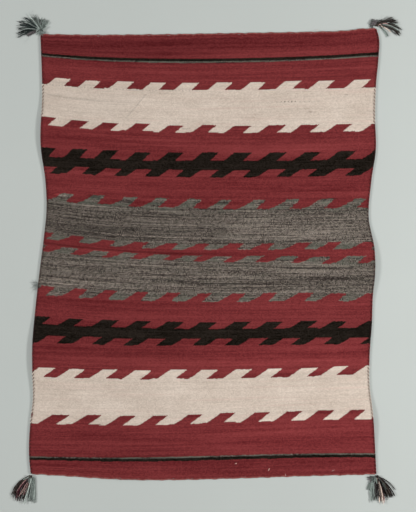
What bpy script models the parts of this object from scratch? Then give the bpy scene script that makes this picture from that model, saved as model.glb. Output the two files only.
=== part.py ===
"""A banded tapestry-weave wool rug, lying flat and face up, with a twined cord along each edge
and a tassel at each corner.

Metres, +Z up. The rug's underside lies on z = 0, its top edge faces +Y and its right edge +X.
The origin ends up under the middle of the whole rug, tassels included.
"""

from math import cos, pi, radians, sin, sqrt
import random

import bmesh
import bpy
import numpy as np
from mathutils import Vector

# The rug's corners, its cords included, measured from the middle of the photograph's frame.
CORNERS = {
    "bottom_left": Vector((-0.639, -0.786)),
    "bottom_right": Vector((0.607, -0.787)),
    "top_left": Vector((-0.604, 0.800)),
    "top_right": Vector((0.607, 0.821)),
}

# Each edge runs from its first corner to its second.
EDGE_ENDS = {
    "left": ("bottom_left", "top_left"),
    "right": ("bottom_right", "top_right"),
    "bottom": ("bottom_left", "bottom_right"),
    "top": ("top_left", "top_right"),
}

# The way out of the rug from each edge.
OUTWARDS = {
    "left": Vector((-1, 0)),
    "right": Vector((1, 0)),
    "bottom": Vector((0, -1)),
    "top": Vector((0, 1)),
}

# How far each edge swings outwards (+) or inwards (-) from the straight line between its corners.
# Columns: share of the way along the edge, swing in millimetres.
EDGE_SWINGS = {
    "left": (
        (0.00, 0), (0.03, 6), (0.12, 5), (0.17, -2), (0.23, 2), (0.30, 4), (0.37, -3),
        (0.48, -19), (0.54, -29), (0.60, -36), (0.67, -29), (0.74, -11), (0.87, -11), (1.00, 0),
    ),
    "right": (
        (0.00, 0), (0.06, -5), (0.13, -12), (0.20, -25), (0.26, -25), (0.34, -16), (0.40, -13),
        (0.45, -5), (0.51, -8), (0.57, -27), (0.66, -18), (0.73, -2), (0.80, -5), (0.88, -1),
        (0.94, 8), (0.98, 9), (1.00, 0),
    ),
    "bottom": ((0.00, 0), (0.10, 7), (0.20, 15), (0.30, 20), (0.62, 14), (0.78, 7), (1.00, 0)),
    "top": ((0.00, 0), (0.14, -6), (0.27, -8), (0.62, -9), (0.82, -9), (0.91, -7), (0.96, -1), (1.00, 0)),
}

# Stretches where the edge stands a little off the floor.
# Columns: edge, share of the way along it, half length of the stretch, height.
EDGE_LIFTS = (
    ("right", 0.47, 0.16, 0.0060),
    ("right", 0.12, 0.12, 0.0050),
    ("left", 0.27, 0.17, 0.0050),
    ("left", 0.78, 0.15, 0.0040),
    ("bottom", 0.27, 0.16, 0.0040),
)
LIFT_REACH = 0.10  # how far in from the edge a lift dies away

MILLIMETRE = 0.001
CLOTH_THICKNESS = 0.003
CORD_DIAMETER = 0.004
CLEARANCE = 0.0003  # between neighbouring pieces
CORD_END_GAP = 0.0008  # between the end of a top or bottom cord and the side cord that it meets
CELLS_ACROSS = 26
CELLS_ALONG = 34
CORD_ROUNDNESS = 1  # bevel resolution, which gives six sides

STRAND_SIDE = 0.0018
STRAND_PITCH = 0.0022  # between roots, across the knot
STRAND_LAYERS = 3
STRAND_COLUMNS = 10
STRAND_STEPS = 5
LAYER_PITCH = 0.0023
KNOT_LENGTH = 0.012
KNOT_NECK = 0.010  # width where the knot meets the corner
KNOT_BULGE = 0.12
KNOT_WAIST = 0.45  # where the knot is plumpest, as a share of the way back to its neck
DROP_RUN = 0.030  # the distance over which an upper strand comes down to the floor
BEND_CROWDING = 1.10  # how much further out the strands of a bent tassel clear each other
LENGTH_RANGE = (0.90, 1.05)
BEND_REACH = 0.055  # a tassel's bend is over within this distance of the knot
ANGLE_JITTER = 0.10  # share of the angle between neighbouring strands
TIP_SHARE = 0.7  # width of a strand's tip beside its side

# Columns: corner, the way that the knot points, the bend of its strands, their fan, and the length
# of the strands at the clockwise side, in the middle and at the anticlockwise side.
# Angles are in degrees, anticlockwise from +X.
TASSELS = (
    ("top_left", 135, -12, 140, (0.044, 0.060, 0.078)),
    ("top_right", 22, -38, 74, (0.066, 0.088, 0.064)),
    ("bottom_left", 225, 30, 58, (0.080, 0.098, 0.094)),
    ("bottom_right", 300, -25, 96, (0.050, 0.100, 0.082)),
)

WOOL_RED = (0.158, 0.030, 0.031)
CORD_BROWN = (0.060, 0.022, 0.020)
TASSEL_BROWN = (0.034, 0.026, 0.025)
WOOL_ROUGHNESS = 0.95


def clear_scene():
    for old in list(bpy.data.objects):
        bpy.data.objects.remove(old, do_unlink=True)


def wool(name, colour):
    material = bpy.data.materials.new(name)
    material.use_nodes = True
    shader = material.node_tree.nodes["Principled BSDF"]
    shader.inputs["Base Color"].default_value = (*colour, 1.0)
    shader.inputs["Roughness"].default_value = WOOL_ROUGHNESS
    shader.inputs["Metallic"].default_value = 0.0
    return material


def new_object(name, data, material, parent):
    piece = bpy.data.objects.new(name, data)
    bpy.context.scene.collection.objects.link(piece)
    piece.data.materials.append(material)
    piece.parent = parent
    return piece


def smooth_step(value, start, end):
    """0 before start, 1 after end, and a soft rise between them."""
    share = min(max((value - start) / (end - start), 0.0), 1.0)
    return share * share * (3 - 2 * share)


def smooth_through(table, at):
    """The value at a place on a smooth curve through the table's rows of (place, value)."""
    places = np.array([row[0] for row in table])
    values = np.array([row[1] for row in table], dtype=float)
    slopes = np.gradient(values, places)
    first = int(np.clip(np.searchsorted(places, at) - 1, 0, len(places) - 2))
    width = places[first + 1] - places[first]
    share = (at - places[first]) / width
    before, after = values[first], values[first + 1]
    rise_before, rise_after = slopes[first] * width, slopes[first + 1] * width
    return float(
        before
        + rise_before * share
        + (3 * (after - before) - 2 * rise_before - rise_after) * share**2
        + (2 * (before - after) + rise_before + rise_after) * share**3
    )


def outline(edge, share, inset):
    """A point of the rug's outline, moved in from every edge by the inset."""
    first, second = EDGE_ENDS[edge]
    corners = []
    for name in (first, second):
        sideways = 1 if "left" in name else -1
        upwards = 1 if "bottom" in name else -1
        corners.append(CORNERS[name] + inset * Vector((sideways, upwards)))
    straight = corners[0].lerp(corners[1], share)
    swing = smooth_through(EDGE_SWINGS[edge], share) * MILLIMETRE
    return straight + swing * OUTWARDS[edge]


def cloth_plan(across, along, inset):
    """A point of the cloth in plan: the four edges blended over the whole rug (a Coons patch)."""
    left, right = outline("left", along, inset), outline("right", along, inset)
    bottom, top = outline("bottom", across, inset), outline("top", across, inset)
    corner_blend = outline("bottom", 0, inset).lerp(outline("bottom", 1, inset), across).lerp(
        outline("top", 0, inset).lerp(outline("top", 1, inset), across), along
    )
    return left.lerp(right, across) + bottom.lerp(top, along) - corner_blend


def lift(across, along):
    """How far the underside stands off the floor at a place on the rug."""
    width = (CORNERS["bottom_right"] - CORNERS["bottom_left"]).length
    length = (CORNERS["top_left"] - CORNERS["bottom_left"]).length
    inwards = {
        "left": across * width,
        "right": (1 - across) * width,
        "bottom": along * length,
        "top": (1 - along) * length,
    }
    height = 0.0
    for edge, share, half_length, rise in EDGE_LIFTS:
        upright = edge in ("left", "right")
        place = along * length if upright else across * width
        centre = share * (length if upright else width)
        nearness = 1 - smooth_step(abs(place - centre), 0, half_length)
        edge_share = 1 - smooth_step(inwards[edge], 0, LIFT_REACH)
        height += rise * nearness * edge_share
    return height


def make_cloth(parent):
    inset = CORD_DIAMETER + CLEARANCE
    shape = bmesh.new()
    bmesh.ops.create_grid(shape, x_segments=CELLS_ACROSS, y_segments=CELLS_ALONG, size=0.5)
    for point in shape.verts:
        across, along = point.co.x + 0.5, point.co.y + 0.5
        place = cloth_plan(across, along, inset)
        point.co = (place.x, place.y, lift(across, along))
    mesh = bpy.data.meshes.new("cloth")
    shape.to_mesh(mesh)
    shape.free()
    cloth = new_object("cloth", mesh, wool("red_wool", WOOL_RED), parent)
    thickness = cloth.modifiers.new("Thickness", "SOLIDIFY")
    thickness.thickness = CLOTH_THICKNESS
    thickness.offset = 1
    return cloth


def make_edge_cord(edge, parent):
    """A cord along one edge. Its stations are the cloth's own, so the gap between them is even."""
    radius = CORD_DIAMETER / 2
    upright = edge in ("left", "right")
    cells = CELLS_ALONG if upright else CELLS_ACROSS
    curve = bpy.data.curves.new(f"edge_cord_{edge}", "CURVE")
    curve.dimensions = "3D"
    curve.bevel_depth = radius
    curve.bevel_resolution = CORD_ROUNDNESS
    curve.use_fill_caps = True
    spline = curve.splines.new("POLY")
    spline.points.add(cells)
    far_side = 1 if edge in ("right", "top") else 0
    for number, point in enumerate(spline.points):
        share = number / cells
        place = outline(edge, share, radius)
        height = radius + (lift(far_side, share) if upright else lift(share, far_side))
        point.co = (place.x, place.y, height, 1)
    if not upright:
        spline.points[0].co.x += radius + CORD_END_GAP
        spline.points[-1].co.x -= radius + CORD_END_GAP
    return new_object(f"edge_cord_{edge}", curve, wool(f"cord_wool_{edge}", CORD_BROWN), parent)


def to_oval(side, height):
    """Moves a point of the square from -1 to 1 on to the disc inside it."""
    return side * sqrt(1 - height * height / 2), height * sqrt(1 - side * side / 2)


def knot_place(side, up, back, knot_radius, half_fan):
    """A place on the knot: side and up from -1 to 1, back from 0 at the strands to 1 at the neck."""
    middle_height = STRAND_LAYERS * LAYER_PITCH / 2
    angle = side * half_fan
    front = Vector((knot_radius * cos(angle), knot_radius * sin(angle), middle_height * (1 + up)))
    oval_side, oval_up = to_oval(side, up)
    neck = Vector((knot_radius - KNOT_LENGTH, oval_side * KNOT_NECK / 2, middle_height * (1 + oval_up)))
    place = front.lerp(neck, back)
    place.y *= 1 + KNOT_BULGE * sin(pi * back)
    return place


def make_knot(shape, knot_radius, half_fan):
    """The knot that a tassel's strands grow from. Returns its front faces by column and layer."""
    bmesh.ops.create_grid(shape, x_segments=STRAND_COLUMNS, y_segments=STRAND_LAYERS, size=1)
    roots = {}
    for face in shape.faces:
        middle = face.calc_center_median()
        column = int((middle.x + 1) / 2 * STRAND_COLUMNS)
        layer = int((middle.y + 1) / 2 * STRAND_LAYERS)
        roots[column, layer] = face
    rim = [edge for edge in shape.edges if edge.is_boundary]
    for back in (KNOT_WAIST, 1.0):
        drawn = bmesh.ops.extrude_edge_only(shape, edges=rim)["geom"]
        rim = [item for item in drawn if isinstance(item, bmesh.types.BMEdge)]
        for point in [item for item in drawn if isinstance(item, bmesh.types.BMVert)]:
            point.co.z = back
    bmesh.ops.holes_fill(shape, edges=rim, sides=0)
    for point in shape.verts:
        point.co = knot_place(*point.co, knot_radius, half_fan)
    bmesh.ops.recalc_face_normals(shape, faces=shape.faces)
    return roots


def strand_path(angle, length, bend, jitter, knot_radius):
    """A strand's sections in plan, as rows of (place, heading, distance from the knot)."""
    place = Vector((cos(angle), sin(angle))) * knot_radius
    step = length / STRAND_STEPS
    stations = []
    for number in range(STRAND_STEPS):
        turned = smooth_step((number + 0.5) * step, 0, BEND_REACH)
        heading = angle + (bend + jitter) * turned
        place = place + step * Vector((cos(heading), sin(heading)))
        stations.append((place, heading, (number + 1) * step))
    return stations


def grow_strand(shape, root, layer, stations, drop_start):
    """Draws one face of the knot out into a four-sided strand that comes down to the floor."""
    middle = root.calc_center_median()
    sideways = Vector((-middle.y, middle.x))
    marks = []
    for corner in root.verts:
        side = 1 if (corner.co - middle).xy.dot(sideways) > 0 else -1
        up = 1 if corner.co.z > middle.z else -1
        marks.append((side, up))
    length = stations[-1][2]
    drop_end = min(drop_start + DROP_RUN, length)
    face = root
    for place, heading, distance in stations:
        face = bmesh.ops.extrude_discrete_faces(shape, faces=[face])["faces"][0]
        half = STRAND_SIDE / 2
        if distance == length:
            half *= TIP_SHARE
        above_floor = layer * LAYER_PITCH * (1 - smooth_step(distance, drop_start, drop_end))
        across = Vector((-sin(heading), cos(heading)))
        for corner, (side, up) in zip(face.verts, marks):
            spot = place + side * half * across
            corner.co = (spot.x, spot.y, above_floor + half * (1 + up))


def make_tassel(corner, way, bend, fan, lengths, parent):
    half_fan = radians(fan) / 2
    strands = STRAND_COLUMNS * STRAND_LAYERS
    angle_step = 2 * half_fan / strands
    knot_radius = STRAND_COLUMNS * STRAND_PITCH / (2 * half_fan)
    clear_radius = (STRAND_SIDE + CLEARANCE) / (angle_step * (1 - 2 * ANGLE_JITTER))
    drop_start = max(clear_radius * BEND_CROWDING - knot_radius, 0)
    uneven = random.Random(f"{corner} tassel")
    shape = bmesh.new()
    roots = make_knot(shape, knot_radius, half_fan)
    bmesh.ops.inset_individual(
        shape, faces=list(roots.values()), thickness=(STRAND_PITCH - STRAND_SIDE) / 2
    )
    clockwise, straight, anticlockwise = lengths
    length_rows = ((0.0, clockwise), (0.5, straight), (1.0, anticlockwise))
    for (column, layer), root in sorted(roots.items()):
        number = column * STRAND_LAYERS + layer + 0.5
        angle = number * angle_step - half_fan
        length = smooth_through(length_rows, number / strands) * uneven.uniform(*LENGTH_RANGE)
        jitter = angle_step * uneven.uniform(-ANGLE_JITTER, ANGLE_JITTER)
        stations = strand_path(angle, length, radians(bend), jitter, knot_radius)
        grow_strand(shape, root, layer, stations, drop_start)
    mesh = bpy.data.meshes.new(f"tassel_{corner}")
    shape.to_mesh(mesh)
    shape.free()
    tassel = new_object(f"tassel_{corner}", mesh, wool(f"tassel_wool_{corner}", TASSEL_BROWN), parent)
    pointing = Vector((cos(radians(way)), sin(radians(way))))
    cord_end = CORNERS[corner] - pointing * CORD_DIAMETER / 2 * abs(pointing.y)
    tassel.location.xy = cord_end + pointing * (CLEARANCE + KNOT_LENGTH - knot_radius)
    tassel.rotation_euler.z = radians(way)
    return tassel


def centre_in_plan(frame, pieces):
    """Moves the frame so that the middle of all the pieces, seen from above, is the origin."""
    bpy.context.view_layer.update()
    scene_state = bpy.context.evaluated_depsgraph_get()
    places = []
    for piece in pieces:
        shown = piece.evaluated_get(scene_state)
        mesh = shown.to_mesh()
        places += [shown.matrix_world @ point.co for point in mesh.vertices]
        shown.to_mesh_clear()
    plan = np.array(places)[:, :2]
    middle = (plan.min(axis=0) + plan.max(axis=0)) / 2
    frame.location = (-middle[0], -middle[1], 0)


def main():
    clear_scene()
    frame = bpy.data.objects.new("rug_frame", None)
    bpy.context.scene.collection.objects.link(frame)
    pieces = [make_cloth(frame)]
    for edge in EDGE_ENDS:
        pieces.append(make_edge_cord(edge, frame))
    for corner, way, bend, fan, lengths in TASSELS:
        pieces.append(make_tassel(corner, way, bend, fan, lengths, frame))
    centre_in_plan(frame, pieces)
    bpy.context.view_layer.update()


main()
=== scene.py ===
"""A banded wool rug in a thick tapestry weave, laid flat on a pale floor and seen from above.

The cloth is one ribbed sheet. Its loom coordinates, which are the number of a warp and a height on
the loom, are kept on the mesh, and the finish weaves the bands from them. Cords and tassels are
yarn. Metres, +Z up.
"""

from math import cos, pi, radians, sin
import random

import bpy
import numpy as np
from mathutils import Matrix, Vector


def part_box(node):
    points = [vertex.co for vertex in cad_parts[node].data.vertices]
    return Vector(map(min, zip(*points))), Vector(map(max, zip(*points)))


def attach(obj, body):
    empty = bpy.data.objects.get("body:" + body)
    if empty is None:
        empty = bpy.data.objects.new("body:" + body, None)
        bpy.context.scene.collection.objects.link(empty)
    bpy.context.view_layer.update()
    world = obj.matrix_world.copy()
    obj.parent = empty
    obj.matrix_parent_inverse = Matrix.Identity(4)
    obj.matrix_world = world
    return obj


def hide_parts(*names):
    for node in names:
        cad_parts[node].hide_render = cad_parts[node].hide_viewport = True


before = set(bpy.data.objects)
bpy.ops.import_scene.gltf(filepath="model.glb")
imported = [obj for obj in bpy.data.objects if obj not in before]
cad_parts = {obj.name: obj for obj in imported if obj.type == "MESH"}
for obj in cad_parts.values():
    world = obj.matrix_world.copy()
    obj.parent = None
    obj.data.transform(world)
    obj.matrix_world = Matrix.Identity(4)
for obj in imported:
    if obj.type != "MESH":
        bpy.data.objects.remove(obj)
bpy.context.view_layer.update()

MILLIMETRE = 0.001
PIXEL = 0.0036  # real size of one pixel of the photograph
FRAME_HEIGHT = 512 * PIXEL

# The rug's corners, its cords included, measured from the middle of the photograph's frame.
CORNERS = {
    "bottom_left": np.array((-0.639, -0.786)),
    "bottom_right": np.array((0.607, -0.787)),
    "top_left": np.array((-0.604, 0.800)),
    "top_right": np.array((0.607, 0.821)),
}

# Each edge runs from its first corner to its second.
EDGE_ENDS = {
    "left": ("bottom_left", "top_left"),
    "right": ("bottom_right", "top_right"),
    "bottom": ("bottom_left", "bottom_right"),
    "top": ("top_left", "top_right"),
}

OUTWARDS = {
    "left": np.array((-1, 0)),
    "right": np.array((1, 0)),
    "bottom": np.array((0, -1)),
    "top": np.array((0, 1)),
}

# How far each edge swings outwards (+) or inwards (-) from the straight line between its corners.
# Columns: share of the way along the edge, swing in millimetres.
EDGE_SWINGS = {
    "left": (
        (0.00, 0), (0.03, 6), (0.12, 5), (0.17, -2), (0.23, 2), (0.30, 4), (0.37, -3),
        (0.48, -19), (0.54, -29), (0.60, -36), (0.67, -29), (0.74, -11), (0.87, -11), (1.00, 0),
    ),
    "right": (
        (0.00, 0), (0.06, -5), (0.13, -12), (0.20, -25), (0.26, -25), (0.34, -16), (0.40, -13),
        (0.45, -5), (0.51, -8), (0.57, -27), (0.66, -18), (0.73, -2), (0.80, -5), (0.88, -1),
        (0.94, 8), (0.98, 9), (1.00, 0),
    ),
    "bottom": ((0.00, 0), (0.10, 7), (0.20, 15), (0.30, 20), (0.62, 14), (0.78, 7), (1.00, 0)),
    "top": ((0.00, 0), (0.14, -6), (0.27, -8), (0.62, -9), (0.82, -9), (0.91, -7), (0.96, -1), (1.00, 0)),
}

# Small ripples of the two ends. Columns: waves along the end, height in millimetres and phase.
END_RIPPLES = ((19, 0.8, 1.0), (33, 0.7, 4.0), (58, 0.6, 2.0))

# Stretches where the edge stands a little off the floor.
# Columns: edge, share of the way along it, half length of the stretch, height.
EDGE_LIFTS = (
    ("right", 0.47, 0.16, 0.0060),
    ("right", 0.12, 0.12, 0.0050),
    ("left", 0.27, 0.17, 0.0050),
    ("left", 0.78, 0.15, 0.0040),
    ("bottom", 0.27, 0.16, 0.0040),
)
LIFT_REACH = 0.10

CLOTH_THICKNESS = 0.003
CORD_DIAMETER = 0.004
CLEARANCE = 0.0003
CLOTH_INSET = CORD_DIAMETER + CLEARANCE
CORD_END_GAP = 0.0008

# The weave. A rib is one warp, wrapped by the weft, and a bead is one turn of weft over it.
WARPS = 295
SAMPLES_A_WARP = 4
RIB_RELIEF = 0.0006
BEAD_LENGTH = 0.0024
ROWS_ALONG = 36
END_ROUNDING = (0.0, 0.0006, 0.0014, 0.0024)  # extra rows this far in from either end
SCALLOP = 0.0005

# How much closer together the warps lie at the left edge than on average, and further apart at the right.
CROWDING_BELOW, CROWDING_ABOVE = -0.04, 0.075
CROWDING_CHANGE = (-0.59, 0.05)  # heights between which the one turns into the other

# The lines of the weave that the bands follow, from the bottom up. Each sags a little unevenly.
# Columns: name, and its height above the middle of the photograph in millimetres at the left
# edge, a third of the way across, two thirds and at the right edge.
COURSES = (
    ("bottom_stripe", -731, -734, -724, -721),
    ("white_2_bottom", -585, -591, -579, -568),
    ("white_2_top", -417, -426, -424, -410),
    ("black_2_bottom", -298, -310, -310, -304),
    ("black_2_top", -226, -248, -249, -245),
    ("grey_2_bottom", -122, -147, -148, -149),
    ("centre_bottom", 29, -2, -12, -16),
    ("centre_top", 76, 38, 33, 40),
    ("grey_1_top", 220, 192, 185, 189),
    ("black_1_bottom", 311, 299, 298, 305),
    ("black_1_top", 374, 360, 357, 364),
    ("white_1_bottom", 490, 461, 457, 464),
    ("white_1_top", 633, 612, 613, 623),
    ("top_stripe", 726, 705, 707, 728),
)
STATIONS = (0, 1 / 3, 2 / 3, 1)
END_SWING_REACH = 0.12  # how far in from an end its own swings die away

# The serrated edges of the bands, from the bottom up, charted in warps.
# Columns: course, wool above it, height of a tooth in millimetres, warps from tooth to tooth, warp
# where a tooth of the lower wool starts, share of a tooth in the lower wool, warps that a tooth leans
# to the right over its height, and how ragged its sides are, with its left one curving out at the foot.
SERRATIONS = (
    ("white_2_bottom", "white", 34, 29.0, -18.8, 0.48, 11, 0.04),
    ("white_2_top", "red", 32, 28.8, -2.2, 0.48, 11, 0.04),
    ("black_2_bottom", "black", 25, 29.4, 8.3, 0.51, 8, 0.06),
    ("black_2_top", "red", 25, 29.1, -3.2, 0.48, 8, 0.06),
    ("grey_2_bottom", "grey", 31, 28.7, -1.8, 0.44, 8, 0.16),
    ("centre_bottom", "red", 23, 28.2, -13.7, 0.51, 7, 0.20),
    ("centre_top", "grey", 24, 29.0, -6.7, 0.42, 7, 0.20),
    ("grey_1_top", "red", 32, 29.8, 10.0, 0.40, 9, 0.18),
    ("black_1_bottom", "black", 26, 29.6, -5.5, 0.50, 8, 0.06),
    ("black_1_top", "red", 31, 29.6, -5.8, 0.49, 8, 0.06),
    ("white_1_bottom", "white", 27, 29.4, -4.9, 0.49, 8, 0.04),
    ("white_1_top", "red", 27, 29.7, 7.3, 0.48, 7, 0.04),
)

# How uneven the teeth are by hand, as shares of the distance from tooth to tooth, and of a tooth's height.
TOOTH_PLACE_UNEVENNESS = 0.07
TOOTH_WIDTH_UNEVENNESS = 0.09
TOOTH_HEIGHT_UNEVENNESS = 0.16

# Thin stripes. Columns: course, wool, and where it starts and ends beside the course, in millimetres.
STRIPES = (
    ("bottom_stripe", "black", -5, 5),
    ("bottom_stripe", "grey", 5, 10),
    ("top_stripe", "grey", -9, -4),
    ("top_stripe", "black", -4, 6),
)
STRIPE_WANDER = 0.0030

# Colours of the wools, each from its darkest to its lightest streaks.
WOOLS = {
    "red": ((0.095, 0.011, 0.013), (0.268, 0.048, 0.049)),
    "white": ((0.48, 0.39, 0.32), (0.75, 0.65, 0.56)),
    "black": ((0.003, 0.002, 0.001), (0.036, 0.027, 0.021)),
    "grey": ((0.026, 0.020, 0.017), (0.310, 0.262, 0.222)),
}

# How the tone of each wool varies. Columns: its middle tone, from 0 to 1, and the weights of single
# lines of weft, long streaks, short streaks, dye lots, clouds and single beads.
TONE_WEIGHTS = {
    "red": (0.42, 0.6, 1.0, 0.4, 1.1, 0.3, 0.40),
    "white": (0.48, 0.5, 0.6, 0.5, 0.3, 0.8, 0.50),
    "black": (0.28, 0.7, 0.7, 0.7, 0.3, 0.5, 0.55),
    "grey": (0.28, 1.7, 1.0, 0.2, 0.5, 0.15, 0.62),
}
GREY_TINT = (0.120, 0.132, 0.104)
GREYS_CENTRE, GREYS_APART = 20, 95  # height between the grey bands, and from there to each one's middle
WHITE_BLUSH = (0.62, 0.42, 0.36)
SPARE_TURN = 0.2  # keeps a tooth's uneven left side inside its own stretch of warps

# Faint slanting joins in the weave. Columns: height of the foot and of the top in millimetres above
# the photograph's middle, warp at the foot, warps that it leans over its height, and the tone of the
# wool to the right of it.
SLANTING_JOINS = (
    (60, 152, 160, 21, 1.16),
    (-122, 2, 71, 26, 1.05),
    (500, 590, 78, 18, 1.04),
)
JOIN_REACH = 46  # warps over which the other tone dies away
JOIN_DARKNESS = 0.16

# Small marks, and broad soft patches that are partly the wool's own uneven tone and partly painted light,
# lighter on the right and darker on the left as if lit from the right.
# Columns: warp, height in millimetres, half width in warps, half height in millimetres, and tone.
MARKS_AND_PAINTED_LIGHT = (
    (10, 566, 12, 4, 0.84),
    (32, 562, 28, 3, 0.87),
    (60, 558, 60, 1.6, 0.86),
    (60, 548, 30, 1.4, 0.88),
    (241, 526, 2.5, 3, 0.72),
    (271, 583, 2, 3, 0.75),
    (14, 617, 14, 4, 0.86),
    (44, 616, 9, 3, 0.84),
    (133, 611, 12, 4, 0.84),
    (133, 468, 6, 1.6, 0.55),
    (14, 203, 9, 7, 1.6),
    (46, 207, 10, 9, 0.5),
    # Broad soft patches, mostly darker on the left and lighter on the right: partly the wool's own uneven
    # tone, partly painted light falling from the right.
    (60, 760, 170, 60, 0.86),
    (40, 550, 90, 90, 0.95),
    (60, 115, 115, 72, 0.84),
    (265, 115, 100, 75, 1.18),
    (150, -75, 220, 80, 1.13),
    (70, 80, 100, 2.6, 1.75),
    (60, 100, 110, 12, 0.86),
    (60, 19, 130, 6, 0.70),
    (110, 143, 50, 1.8, 1.6),
    (35, -106, 62, 14, 1.28),
    (110, -60, 26, 2.2, 1.5),
    # Broad soft patches that make the lower right lighter: partly the wool's own tone, partly painted light
    # falling from the right.
    (250, -350, 140, 80, 1.18),
    (240, -650, 160, 90, 1.16),
    (235, -500, 170, 90, 1.06),
    (205, -650, 44, 20, 1.04),
    (90, -345, 60, 3, 0.84),
    (215, -330, 40, 3, 0.90),
)

# Rows of dark specks. Columns: first and last warp, height in millimetres, warps from speck to
# speck, and tone.
SPECKS = (
    (214, 231, 562, 3, 0.30),
    (205, 214, 562, 4, 0.75),
    (231, 249, 561, 4, 0.80),
    (2, 140, 605, 3, 0.74),
)

# The cords, each of two yarns wound round each other. Along the sides one of the two is the weft of
# the bands, which shows as pale dashes between the dark ones of the other.
# Columns for each edge: radius of the yarn, how far it winds sideways from the cord's middle, where a
# negative number winds the other way round, and how far in from the outline that middle lies.
CORDS = {
    "left": (0.0015, -0.0016, 0.0034),
    "right": (0.0015, 0.0016, 0.0034),
    "bottom": (0.0016, 0.0011, 0.0031),
    "top": (0.0016, 0.0011, 0.0031),
}
WEFT_YARN = 0.0019  # radius
CORD_SWING = 0.0009  # how far each yarn winds up and down
CORD_TURN = 0.0126  # length of one whole turn
STEPS_A_TURN = 12
CORD_SIDES = 8
CORD_STATIONS = 280
SIDE_TURN_TONE = 1.16  # the weft is painted lighter where it turns round the side cords

# Yarn of the tassels.
YARN_RADIUS = 0.00145
YARN_FLATNESS = 0.66
YARN_SIDES = 6
YARN_STEP = 0.0020
YARN_TURN = 0.0100
FIBRE_GIRTH = 0.13  # of a yarn
RUN_POINTS = 22
DROP_RUN = 0.035

YARNS = {
    "dark": (0.020, 0.015, 0.014),
    "dark_green": (0.026, 0.036, 0.034),
    "brown": (0.052, 0.041, 0.033),
    "maroon": (0.048, 0.012, 0.018),
    "slate": (0.088, 0.104, 0.094),
    "cream": (0.62, 0.50, 0.42),
    "pink": (0.42, 0.27, 0.25),
    "grey_green": (0.19, 0.225, 0.205),
    "pale_green": (0.33, 0.375, 0.345),
    "purple_grey": (0.150, 0.132, 0.135),
}

# The tassels, lock by lock, from the floor up.
# Columns: yarn, number of strands, the way that they leave the knot and the way that they end, in
# degrees anticlockwise from +X, length, spread of the ways, waviness, both in degrees, and how far
# beside the knot they start, in millimetres.
LOCKS = {
    "top_left": (
        ("purple_grey", 6, 196, 206, 0.052, 14, 12, 4),
        ("pale_green", 3, 66, 60, 0.045, 52, 18, -6),
        ("grey_green", 9, 92, 84, 0.040, 70, 20, -4),
        ("dark_green", 12, 170, 188, 0.084, 40, 7, 3),
        ("slate", 9, 124, 132, 0.060, 36, 9, 0),
        ("dark_green", 14, 158, 170, 0.081, 54, 8, 2),
        ("grey_green", 10, 110, 120, 0.044, 80, 16, -2),
        ("pale_green", 3, 146, 158, 0.074, 70, 8, 2),
        ("purple_grey", 2, 190, 208, 0.052, 20, 9, 3),
        ("grey_green", 16, 220, 300, 0.024, 170, 34, -1),
        ("grey_green", 8, 70, 100, 0.022, 90, 30, -3),
    ),
    "top_right": (
        ("slate", 6, 150, 190, 0.024, 110, 34, 5),
        ("purple_grey", 8, 140, 190, 0.024, 110, 34, 5),
        ("grey_green", 5, -38, -60, 0.052, 8, 10, -8),
        ("dark", 6, -2, -46, 0.087, 14, 9, -4),
        ("brown", 7, 4, -40, 0.093, 18, 10, -3),
        ("slate", 5, 8, -26, 0.085, 18, 11, -2),
        ("brown", 7, 12, -10, 0.078, 20, 11, -1),
        ("pale_green", 2, 14, -30, 0.084, 24, 9, -1),
        ("dark", 7, 18, 4, 0.074, 20, 11, 0),
        ("brown", 5, 24, 16, 0.069, 20, 12, 2),
        ("dark", 1, 30, 24, 0.072, 6, 6, 3),
        ("cream", 1, -20, -46, 0.046, 4, 8, -14),
        ("pink", 1, 30, -20, 0.040, 6, 10, -6),
        ("brown", 8, 30, -20, 0.030, 80, 20, 2),
        ("purple_grey", 8, 100, 160, 0.020, 110, 34, 5),
    ),
    "bottom_left": (
        ("pale_green", 9, 272, 262, 0.086, 8, 8, 14),
        ("grey_green", 6, 266, 260, 0.090, 10, 9, 9),
        ("slate", 6, 262, 258, 0.086, 12, 8, 5),
        ("dark", 9, 208, 260, 0.094, 10, 7, -5),
        ("brown", 8, 212, 262, 0.098, 18, 7, -4),
        ("maroon", 11, 224, 260, 0.098, 20, 7, -2),
        ("dark", 9, 240, 256, 0.098, 18, 7, 0),
        ("pink", 2, 218, 242, 0.084, 4, 6, -2),
        ("cream", 3, 248, 240, 0.078, 10, 8, 4),
        ("pink", 2, 240, 246, 0.084, 12, 8, 4),
        ("pale_green", 4, 258, 250, 0.098, 20, 7, 4),
        ("maroon", 4, 236, 254, 0.080, 34, 8, 0),
        ("grey_green", 9, 240, 262, 0.028, 90, 20, 0),
    ),
    "bottom_right": (
        ("grey_green", 12, 236, 264, 0.054, 34, 14, -6),
        ("purple_grey", 7, 200, 240, 0.030, 60, 20, -6),
        ("grey_green", 7, 252, 288, 0.096, 12, 9, -7),
        ("dark", 1, -22, -54, 0.092, 1, 3, 8),
        ("dark", 9, -42, -66, 0.090, 12, 7, 7),
        ("brown", 8, -52, -70, 0.088, 14, 8, 5),
        ("dark", 9, -64, -76, 0.088, 14, 8, 3),
        ("maroon", 5, -70, -84, 0.086, 14, 8, 1),
        ("dark", 9, -82, -84, 0.084, 16, 8, -2),
        ("cream", 3, -74, -88, 0.104, 6, 6, 1),
        ("pink", 3, -66, -90, 0.096, 10, 7, 1),
        ("slate", 4, -56, -78, 0.068, 30, 9, 2),
        ("dark", 4, -70, -78, 0.080, 30, 9, 1),
        ("grey_green", 10, 210, 260, 0.026, 110, 24, -2),
    ),
}

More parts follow.
